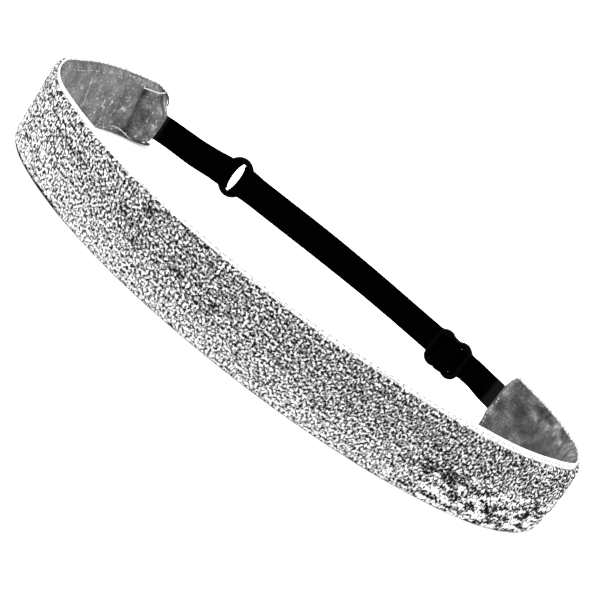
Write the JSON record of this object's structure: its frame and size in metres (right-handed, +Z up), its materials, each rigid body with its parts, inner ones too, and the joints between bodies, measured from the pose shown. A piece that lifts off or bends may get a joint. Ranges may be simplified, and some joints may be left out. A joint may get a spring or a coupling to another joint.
{
  "type": "sport headband",
  "caption": "Sport headband: a glitter-faced ribbon with a velvet lining, closed at the back by a narrow elastic strap with a ring and a slide.",
  "frame": {"origin": "middle of the band's footprint, on the surface that its lower edge stands on", "axes": "+Z up, -Y towards the middle of the band's front, +X to the right seen from the front"},
  "size_m": [0.184, 0.1264, 0.022],
  "materials": {
    "glitter": "silver glitter",
    "ribbon": "white woven ribbon",
    "velvet": "short grey velvet pile",
    "elastic": "black woven elastic",
    "hardware": "satin black"
  },
  "bodies": {
    "root": {"glitter_face": "glitter", "white_ribbon": "ribbon", "velvet_lining": "velvet", "anchor_loop": "elastic", "adjust_strap": "elastic", "ring": "hardware", "slide": "hardware"}
  },
  "joints": []
}
